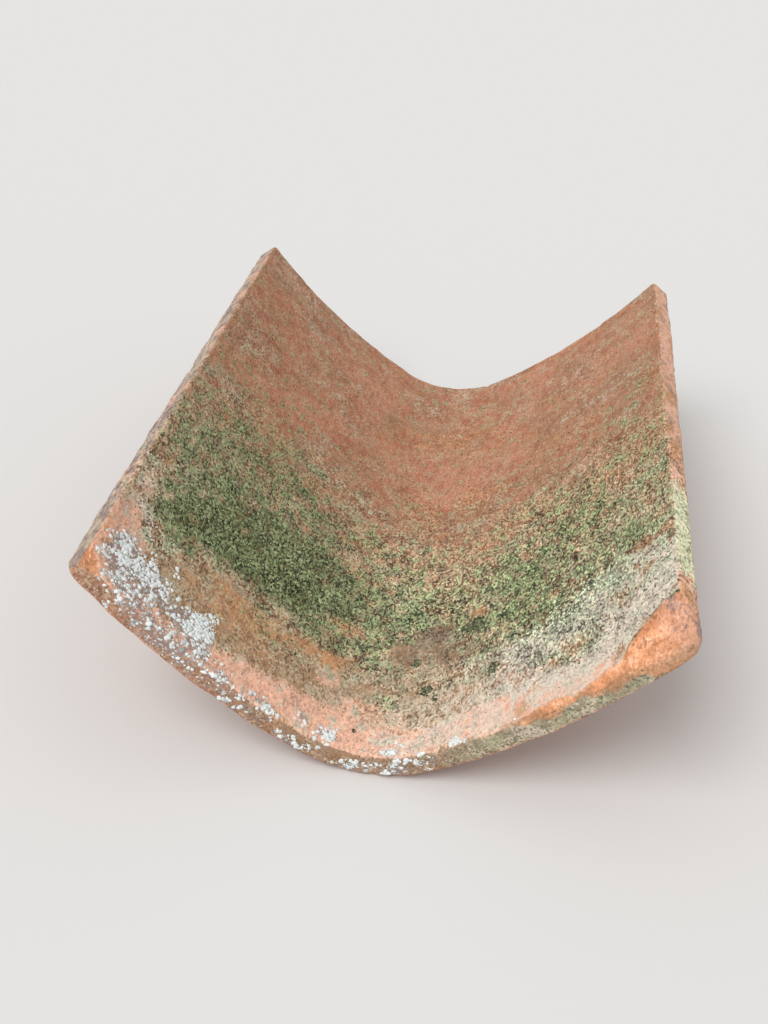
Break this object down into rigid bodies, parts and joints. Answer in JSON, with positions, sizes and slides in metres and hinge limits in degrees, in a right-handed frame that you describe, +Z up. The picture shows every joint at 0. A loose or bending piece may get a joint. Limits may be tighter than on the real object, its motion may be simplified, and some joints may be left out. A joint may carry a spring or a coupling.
{
  "type": "clay ridge tile",
  "caption": "Fired clay ridge tile of rounded-V section, a roof tile that straddles a ridge, weathered, with flakes broken from one end.",
  "frame": {"origin": "on the floor below the middle of the tile, at the lowest line of its rounded belly", "axes": "+Y along the length away from the flaked end, +X across the tile, +Z up out of the hollow face"},
  "size_m": [0.2988, 0.4, 0.1175],
  "materials": {
    "fired_clay": "matt, weathered"
  },
  "bodies": {
    "root": {"ridge_tile": "fired_clay"}
  },
  "joints": []
}
